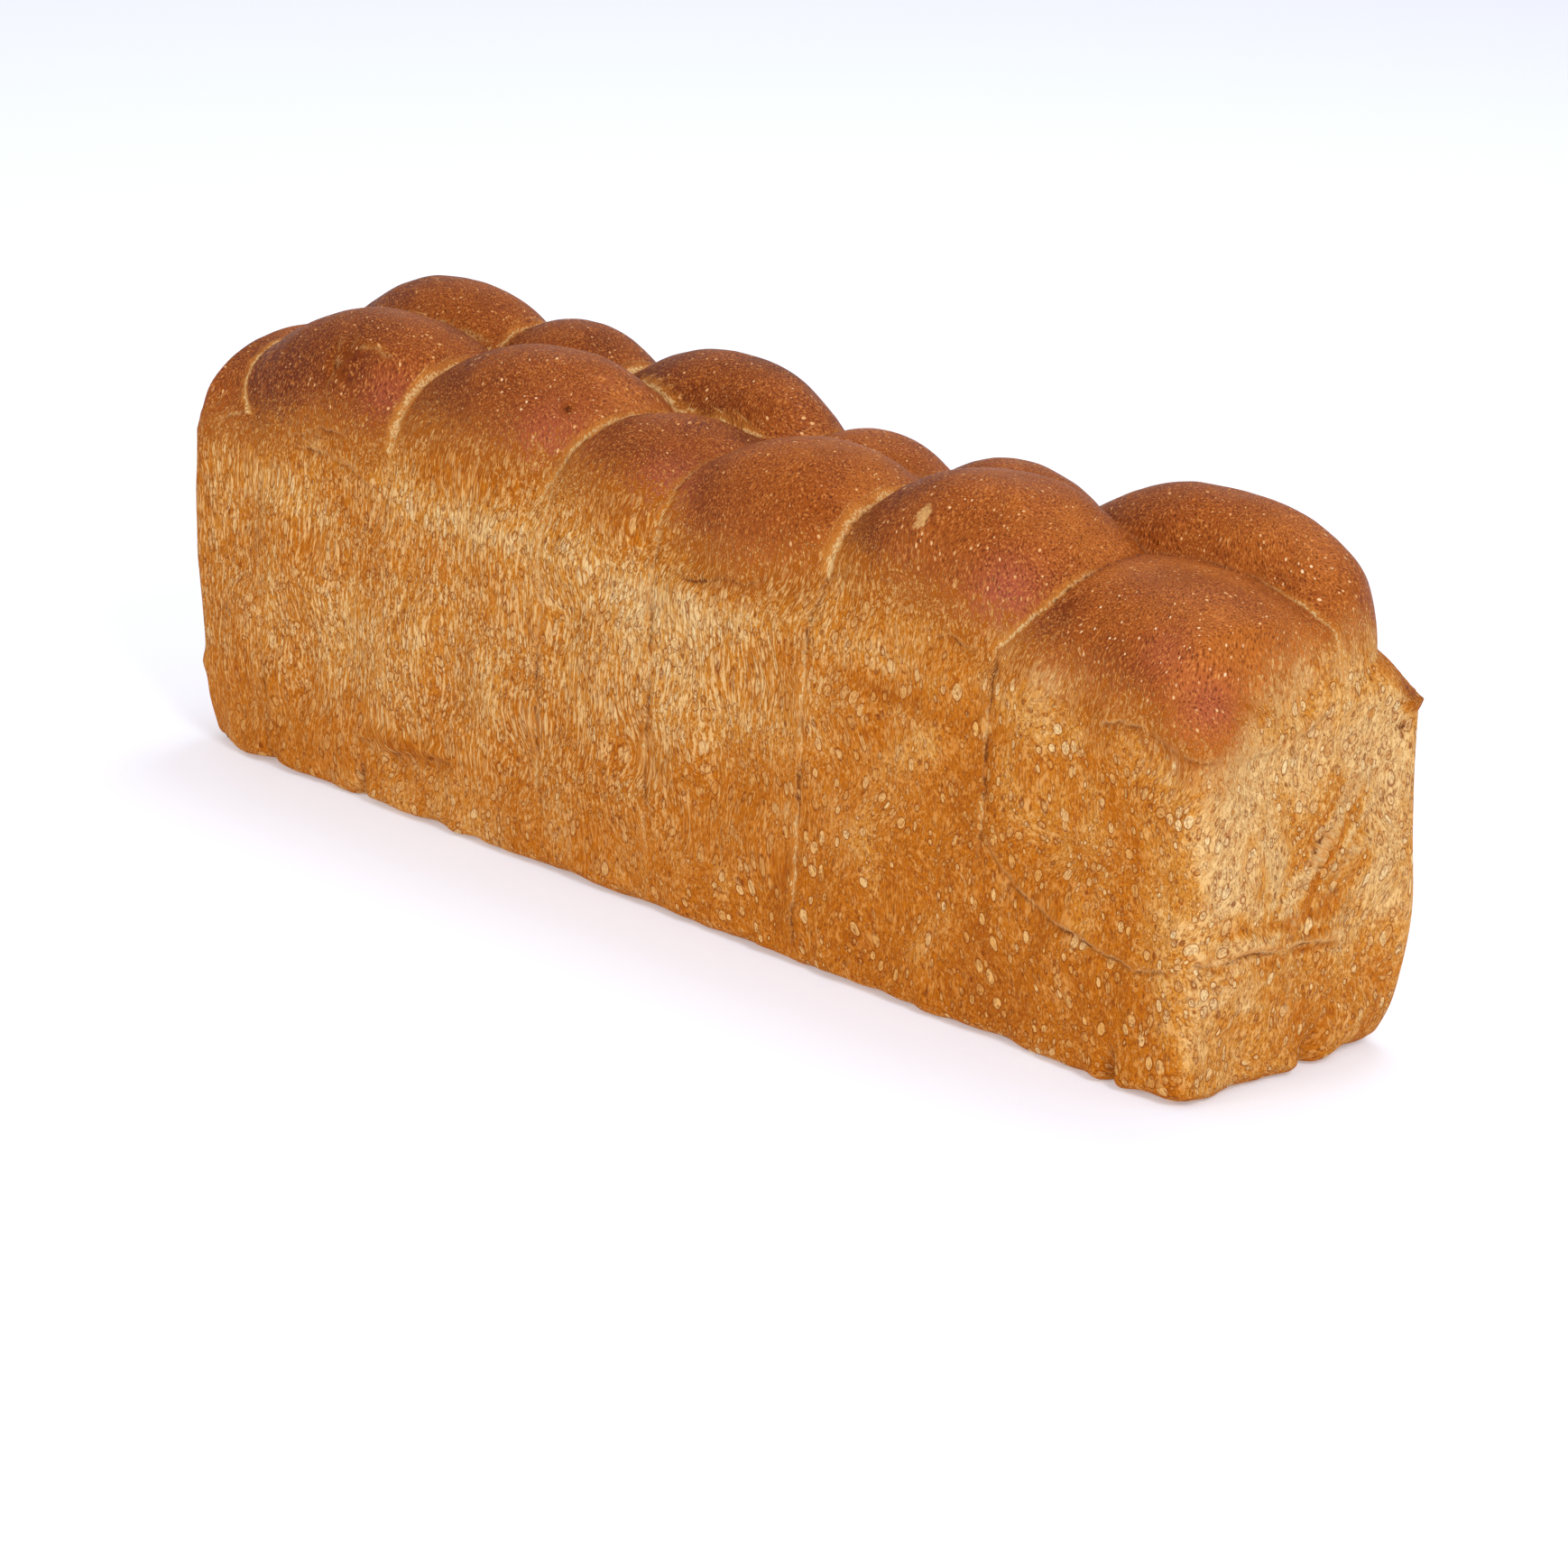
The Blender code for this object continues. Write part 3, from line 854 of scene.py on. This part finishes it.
class Tree:
    """Short calls that add and join the nodes of one material."""

    def __init__(self, material):
        material.use_nodes = True
        self.nodes = material.node_tree.nodes
        self.links = material.node_tree.links
        self.shader = self.nodes["Principled BSDF"]

    def put(self, value, socket):
        if isinstance(value, bpy.types.NodeSocket):
            self.links.new(value, socket)
        else:
            socket.default_value = value

    def add(self, kind, inputs, **settings):
        node = self.nodes.new("ShaderNode" + kind)
        for name, value in settings.items():
            setattr(node, name, value)
        for name, value in inputs.items():
            self.put(value, node.inputs[name])
        return node

    def field(self, name):
        return self.add("Attribute", {}, attribute_name=name).outputs["Fac"]

    def math(self, operation, a, b=0.0, clamp=False):
        return self.add("Math", {0: a, 1: b}, operation=operation, use_clamp=clamp).outputs[0]

    def step(self, low, high, value):
        """0 at low, 1 at high, and smooth between them; low may be the larger."""
        bottom, top = (1.0, 0.0) if low > high else (0.0, 1.0)
        inputs = {"Value": value, "From Min": min(low, high), "From Max": max(low, high)}
        inputs |= {"To Min": bottom, "To Max": top}
        return self.add("MapRange", inputs, interpolation_type="SMOOTHSTEP").outputs["Result"]

    def mix(self, share, a, b):
        """From a to b, each a pattern or a colour as a screen shows it."""
        node = self.add("Mix", {0: share}, data_type="RGBA", clamp_factor=True)
        for socket, value in ((6, a), (7, b)):
            self.put(colour(*value) if isinstance(value, tuple) else value, node.inputs[socket])
        return node.outputs[2]

    def layered(self, base, *layers):
        """A colour with others laid over it in turn: (share, strength, colour)."""
        for share, strength, tint in layers:
            base = self.mix(share if strength == 1 else self.times(share, strength), base, tint)
        return base

    def stretched(self, size, place):
        """A named field of places divided by a size for each axis."""
        at = self.add("Attribute", {}, attribute_name=place).outputs["Vector"]
        scale = tuple(1 / part for part in size)
        return self.add("VectorMath", {0: at, 1: scale}, operation="MULTIPLY").outputs[0]

    def noise(self, size, detail=2.0, rough=0.5, place="flow"):
        inputs = {"Vector": self.stretched(size, place), "Scale": 1.0, "Detail": detail, "Roughness": rough}
        return self.add("TexNoise", inputs).outputs["Fac"]

    def cells(self, size, place="flow"):
        """Distance from the nearest of many scattered points, and two random numbers of that point."""
        inputs = {"Vector": self.stretched(size, place), "Scale": 1.0, "Randomness": 1.0}
        cells = self.add("TexVoronoi", inputs)
        parts = self.add("SeparateColor", {"Color": cells.outputs["Color"]})
        return cells.outputs["Distance"], parts.outputs["Red"], parts.outputs["Green"]

    def spots(self, cells, share, biggest=0.5, softness=0.1):
        """Ovals of random size, one in some cells: how far inside, and their rims, which the walls paint
        dark as painted shade at the edges of the raised blisters.
        """
        distance, chance, _ = cells
        radius = self.math("MULTIPLY", self.math("SUBTRACT", chance, 1 - share), biggest / share)
        depth = self.math("SUBTRACT", radius, distance)
        inside = self.math("DIVIDE", depth, softness, clamp=True)
        edge = self.math("ABSOLUTE", self.math("ADD", depth, 0.2 * softness))
        rim = self.math("SUBTRACT", 1.0, self.math("DIVIDE", edge, softness), clamp=True)
        return inside, self.times(rim, self.step(0.02, 0.1, radius))

    def times(self, *values):
        return reduce(lambda a, b: self.math("MULTIPLY", a, b), values)

    def plus(self, *values):
        return reduce(lambda a, b: self.math("ADD", a, b), values)

    def centred(self, value, amount):
        """A pattern about 0.5 turned into one about 0 of a given strength."""
        return self.math("MULTIPLY", self.math("SUBTRACT", value, 0.5), amount)

    def ridges(self, pattern, sharpness):
        """Thin lines where a pattern passes its middle."""
        away = self.math("ABSOLUTE", self.centred(pattern, 1.0))
        return self.math("SUBTRACT", 1.0, self.times(away, sharpness), clamp=True)


# The fields of the mesh that the walls and the crown are painted by.
PAINT_FIELDS = ("tone", "brown", "rosy", "porous", "cloud", "scuff", "blister")


def crust_patterns(tree):
    """Patterns finer than the mesh. Streaks run up the wall, where dough slid on the tin."""
    p = SimpleNamespace(**{name: tree.field(name) for name in PAINT_FIELDS})
    p.smooth = tree.math("SUBTRACT", 1.0, p.porous, clamp=True)
    p.streaks = tree.noise((0.0011, 0.0011, 0.0066), 2.0, 0.6)
    p.mottle = tree.noise((0.0027, 0.0022, 0.0034), 2.0, 0.65, "curl")
    p.grain = tree.noise((0.0007, 0.0007, 0.0018), 1.0, 0.6, "curl")
    # Thin dark lines along the edges of the pale streaks: painted shade, the streaks' thin shadows.
    p.net = tree.ridges(p.streaks, 22.0)
    p.wisps = tree.ridges(p.mottle, 20.0)
    dash_cells = tree.cells((0.0021, 0.0021, 0.0066))
    pore_cells = tree.cells((0.0038, 0.0038, 0.0058), "curl")
    dot_cells = tree.cells((0.002, 0.002, 0.0032), "curl")
    p.dashes, p.dash_rims = tree.spots(dash_cells, 0.8, 0.52, 0.12)
    p.pores, p.pore_rims = tree.spots(pore_cells, 0.85, 0.49, 0.07)
    p.dots, p.dot_rims = tree.spots(dot_cells, 0.65, 0.46, 0.14)
    p.flecks = tree.spots(dash_cells, 0.3, 0.26, 0.1)[0]
    p.specks = tree.spots(dot_cells, 0.55, 0.32, 0.09)[0]
    p.pore_tint, p.dot_tint = pore_cells[2], dot_cells[2]
    striped = tree.plus(p.tone, tree.times(tree.field("stripes"), 0.65))
    p.level = tree.math("MINIMUM", striped, 1.3)
    p.light = tree.step(0.49, 0.64, tree.plus(p.streaks, tree.times(p.level, 0.06)))
    return p


def wall_colour(tree, p):
    """Amber to gold and cream, by patches, with more streaks and pores where paler."""
    lively = tree.plus(0.66, tree.times(p.level, 0.26))
    cream = tree.mix(tree.step(-0.7, 1.0, p.level), (236, 177, 97), (250, 217, 158))
    soft_light = tree.step(0.47, 0.72, tree.plus(p.mottle, tree.times(p.level, 0.05)))
    texture = tree.mix(p.porous, p.streaks, p.mottle)
    dash_share = tree.times(p.dashes, lively, tree.plus(0.15, tree.times(p.smooth, 0.8)))
    dot_share = tree.times(p.dots, lively, tree.plus(0.1, p.porous))
    pore_share = tree.times(p.pores, 0.95, tree.plus(0.3, tree.times(p.porous, 0.8)))
    # Dark rings round the pores, dots and dashes: painted shade, the shadowed edges of the raised blisters.
    rims = tree.math("MAXIMUM", p.pore_rims, tree.times(p.dot_rims, p.porous, 0.7))
    rims = tree.math("MAXIMUM", rims, tree.times(p.dash_rims, p.smooth, 0.7))
    grain_share = tree.plus(0.5, tree.times(p.porous, -0.18))
    return tree.layered(
        (152, 70, 2),
        (tree.step(-1.3, -0.1, p.level), 1, (200, 114, 12)),
        (tree.step(-0.2, 0.8, p.level), 1, (222, 150, 54)),
        (tree.step(0.4, 1.4, p.level), 1, (234, 186, 118)),
        (tree.times(p.light, p.smooth), 0.6, cream),
        (tree.times(soft_light, p.porous), 0.3, cream),
        (tree.step(0.46, 0.31, texture), 0.66, (162, 78, 6)),
        (dash_share, 1, cream),
        (dot_share, 1, tree.mix(p.dot_tint, (212, 142, 62), cream)),
        (pore_share, 1, tree.mix(p.pore_tint, (214, 146, 68), cream)),
        (rims, 0.88, (128, 56, 4)),
        (tree.times(p.net, p.smooth), 0.5, (120, 52, 4)),
        (tree.times(p.wisps, p.porous), 0.5, (124, 54, 4)),
        (tree.step(0.55, 0.72, p.grain), 0.65, (144, 68, 8)),
        (tree.step(0.45, 0.28, p.grain), grain_share, cream),
    )


def crown_colour(tree, p):
    """Red-brown leather with pale flecks, darker in places, partly by painted shade over each piece's far
    side and back, rosy on a few pieces.
    """
    thick = tree.step(0.75, 0.45, tree.plus(p.dot_tint, tree.times(p.blister, -0.5)))
    return tree.layered(
        (112, 44, 4),
        (tree.step(-1.2, 0.1, p.cloud), 1, (154, 74, 14)),
        (tree.step(0.0, 1.0, p.cloud), 1, (184, 100, 30)),
        (tree.step(0.47, 0.72, p.mottle), 0.4, (188, 106, 38)),
        (p.rosy, 0.72, (174, 84, 62)),
        (tree.step(0.54, 0.72, p.grain), 0.75, (216, 138, 68)),
        (tree.step(0.46, 0.3, p.grain), 0.7, (84, 30, 2)),
        (tree.times(p.flecks, tree.step(-0.9, 0.9, p.cloud)), 0.8, (230, 168, 98)),
        (tree.times(p.specks, thick), 1, tree.mix(p.blister, (226, 160, 88), (248, 214, 170))),
    )


def orange_colour(tree, p):
    """The stage between the gold of the walls and the brown of the crown."""
    blotches = tree.times(tree.step(0.2, 1.2, p.level), tree.step(0.36, 0.6, p.mottle))
    return tree.layered(
        (170, 90, 14),
        (p.light, 0.65, (218, 152, 78)),
        (p.dashes, 0.4, (234, 182, 112)),
        (blotches, 0.7, (236, 190, 124)),
        (p.net, 0.4, (116, 50, 8)),
        (tree.step(0.45, 0.28, p.grain), 0.5, (236, 184, 112)),
    )


def with_lines(tree, p, base):
    """A grainy pale strip on one side of each line, a brown edge opposite, and a thin dark core; the brown
    edge and the core are partly the crust's own dark joint colour and partly painted shade in the crease.
    """
    line = tree.plus(tree.field("line"), tree.centred(p.grain, 0.003), tree.centred(p.mottle, 0.0022))
    pale, dark, width = (tree.field(name) for name in ("line_pale", "line_dark", "line_width"))
    inward = tree.math("DIVIDE", tree.times(line, -1.0), width)
    glow = tree.times(tree.step(-0.9, 0.0, inward), tree.step(3.2, 1.0, inward), pale)
    strip = tree.times(tree.step(-0.15, 0.25, inward), tree.step(1.2, 0.7, inward), pale)
    strip = tree.times(strip, tree.step(0.3, 0.58, p.grain), tree.step(0.3, 0.48, p.mottle))
    off = tree.math("ABSOLUTE", line)
    halo_share = tree.plus(0.22, tree.times(tree.step(-0.6, 0.8, p.brown), 0.28))
    core = tree.times(tree.step(0.001, 0.0002, off), dark, tree.step(0.36, 0.58, p.mottle))
    return tree.layered(
        base,
        (glow, 0.55, (210, 134, 52)),
        (strip, 0.9, tree.mix(p.grain, (214, 160, 88), (248, 216, 158))),
        (tree.times(tree.step(0.0042, 0.0002, off), dark), halo_share, (150, 72, 10)),
        (core, 0.9, (92, 36, 2)),
    )


WALL_ROUGHNESS = 0.8
CROWN_ROUGHNESS = 0.4
CRUST_SPECULAR = 0.1
# Relief finer than the mesh, in metres.
STREAK_HEIGHT = 0.0011
GRAIN_HEIGHT = 0.00075
MOTTLE_HEIGHT = 0.0009


def make_crust():
    crust = bpy.data.materials.new("crust")
    tree = Tree(crust)
    p = crust_patterns(tree)
    # Brown gives way to gold through ragged streaks, with an orange stage between.
    frays = tree.centred(p.streaks, 2.6), tree.centred(p.mottle, 2.4), tree.centred(p.grain, 2.2)
    ragged = tree.plus(p.brown, *frays, tree.times(p.cloud, 0.2))
    # A scuffed patch shows torn, pale dough.
    scuff = tree.step(0.35, 0.65, tree.plus(p.scuff, tree.centred(p.mottle, 1.1)))
    base = tree.layered(
        wall_colour(tree, p),
        (tree.step(-0.9, -0.1, ragged), 1, orange_colour(tree, p)),
        (tree.step(0.1, 1.0, ragged), 1, crown_colour(tree, p)),
        (scuff, 0.8, tree.mix(p.grain, (180, 112, 46), (240, 196, 128))),
    )
    inputs = tree.shader.inputs
    tree.put(with_lines(tree, p, base), inputs["Base Color"])
    tree.put(CRUST_SPECULAR, inputs["Specular IOR Level"])
    smoothing = tree.times(tree.step(0.2, 1.2, ragged), CROWN_ROUGHNESS - WALL_ROUGHNESS)
    tree.put(tree.plus(WALL_ROUGHNESS, smoothing, tree.centred(p.mottle, 0.3)), inputs["Roughness"])
    height = tree.times(p.streaks, p.smooth, tree.step(1.2, 0.0, p.brown), STREAK_HEIGHT)
    height = tree.plus(height, tree.times(p.grain, GRAIN_HEIGHT), tree.times(p.mottle, MOTTLE_HEIGHT))
    bump = tree.add("Bump", {"Height": height, "Strength": 1.0, "Distance": 1.0})
    tree.put(bump.outputs["Normal"], inputs["Normal"])
    return crust


# ---------------- floor, light and camera
FLOOR_SIZE = 14.0
FLOOR_MIDDLE = (-2.0, 3.0, 0.0)
FLOOR_PAINT = {
    "Base Color": colour(226, 230, 244),
    "Roughness": 1.0,
    "Specular IOR Level": 0.0,
    "Emission Color": colour(255, 255, 255),
    "Emission Strength": 0.28,
}
ROOM_LIGHT = 0.62
# The lamps: (name, place, size, power, tint), all turned to the middle of the loaf.
AIM = (0.0, 0.0, 0.08)
LAMPS = [
    ("key", (1.7, -0.7, 1.5), 0.8, 19.0, (1.0, 0.99, 0.97)),
    ("top", (-0.3, 0.9, 1.9), 1.2, 13.0, (1.0, 1.0, 1.0)),
    ("front", (-0.2, -2.2, 1.1), 0.8, 9.0, (1.0, 1.0, 1.0)),
]


def make_floor():
    bpy.ops.mesh.primitive_plane_add(size=FLOOR_SIZE, location=FLOOR_MIDDLE)
    floor = bpy.context.object
    floor.name = "floor"
    paint = bpy.data.materials.new("floor_paint")
    tree = Tree(paint)
    for name, value in FLOOR_PAINT.items():
        tree.put(value, tree.shader.inputs[name])
    floor.data.materials.append(paint)


def add_lamp(name, place, size, power, tint):
    light = bpy.data.lights.new(name, "AREA")
    light.shape = "DISK"
    light.size = size
    light.energy = power
    light.color = tint
    holder = bpy.data.objects.new(name, light)
    holder.location = place
    holder.rotation_euler = (Vector(AIM) - Vector(place)).to_track_quat("-Z", "Y").to_euler()
    scene.collection.objects.link(holder)


def make_lights():
    world = bpy.data.worlds.new("studio")
    world.use_nodes = True
    background = world.node_tree.nodes["Background"]
    background.inputs["Color"].default_value = (1.0, 1.0, 1.0, 1.0)
    background.inputs["Strength"].default_value = ROOM_LIGHT
    scene.world = world
    for lamp in LAMPS:
        add_lamp(*lamp)


# The camera: where it stands and how it is turned, read as a photographer would set it.
CAMERA_PLACE = (1.3106, -1.3124, 0.6291)
CAMERA_AZIMUTH = math.radians(44.68)
CAMERA_DOWN = math.radians(17.743)
CAMERA_ROLL = math.radians(2.677)
LENS = 124.28
SHIFT_Y = 0.0023


def make_camera():
    camera = bpy.data.cameras.new("camera")
    camera.sensor_width = 36.0
    camera.lens = LENS
    camera.shift_y = SHIFT_Y
    camera.clip_end = 60.0
    holder = bpy.data.objects.new("camera", camera)
    turn = Matrix.Rotation(CAMERA_AZIMUTH, 4, "Z")
    tip = Matrix.Rotation(math.pi / 2 - CAMERA_DOWN, 4, "X")
    roll = Matrix.Rotation(CAMERA_ROLL, 4, "Z")
    holder.matrix_world = Matrix.Translation(CAMERA_PLACE) @ turn @ tip @ roll
    scene.collection.objects.link(holder)
    scene.camera = holder


def main():
    scene.view_settings.view_transform = "Standard"
    loaf = make_loaf()
    loaf.data.materials.append(make_crust())
    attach(loaf, "root")
    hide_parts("loaf")
    make_floor()
    make_lights()
    make_camera()


main()
